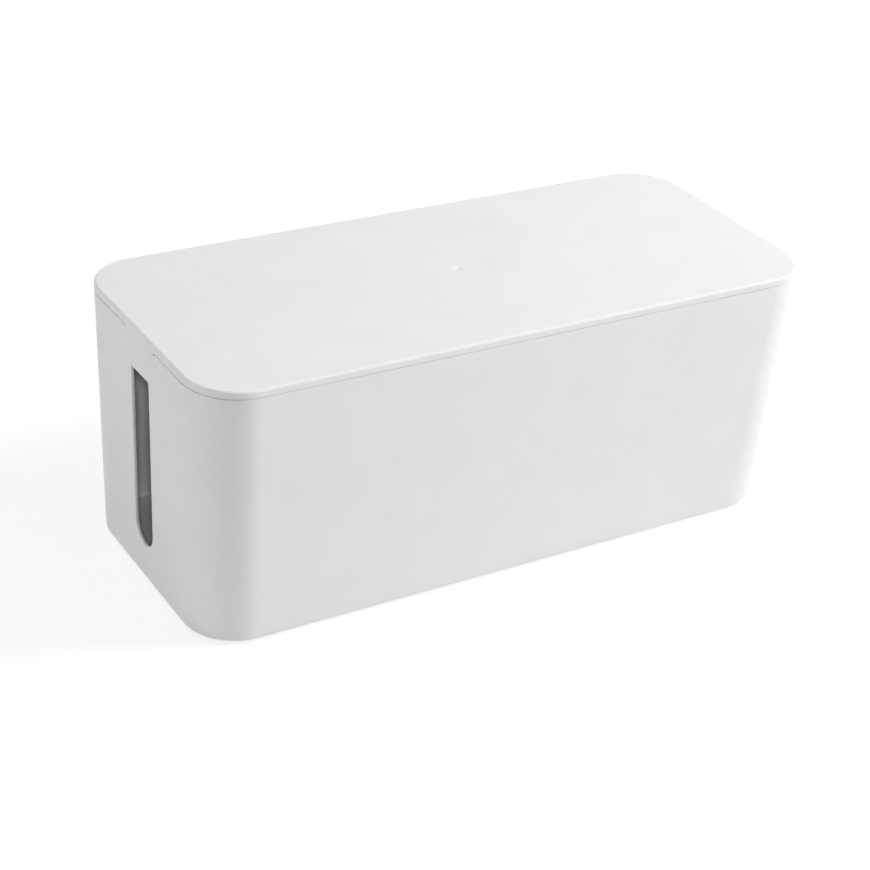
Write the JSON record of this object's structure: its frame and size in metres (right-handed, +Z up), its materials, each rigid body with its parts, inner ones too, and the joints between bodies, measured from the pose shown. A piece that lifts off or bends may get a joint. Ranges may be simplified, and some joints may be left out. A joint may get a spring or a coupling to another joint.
{
  "type": "cable management box",
  "caption": "Long round-cornered plastic box that hides a power strip and its leads, with a tall cable slot in each end wall and a flat lift-off lid.",
  "frame": {"origin": "on the surface that the feet stand on, under the middle of the box", "axes": "+X along the box towards its right end, +Y from the front long wall to the rear one, +Z up"},
  "size_m": [0.4, 0.17, 0.161],
  "materials": {
    "shell": "satin white moulded plastic",
    "lid_shell": "satin white moulded plastic",
    "foot_rubber": "matt dark grey rubber"
  },
  "bodies": {
    "box": {"body": "shell", "foot_front_left": "foot_rubber", "foot_front_right": "foot_rubber", "foot_rear_left": "foot_rubber", "foot_rear_right": "foot_rubber"},
    "lid": {"lid": "lid_shell"}
  },
  "joints": [
    {"name": "lid_lift", "type": "slide", "parent": "box", "child": "lid", "axis": [0, 0, 1], "range_m": [0, 0.15]}
  ]
}
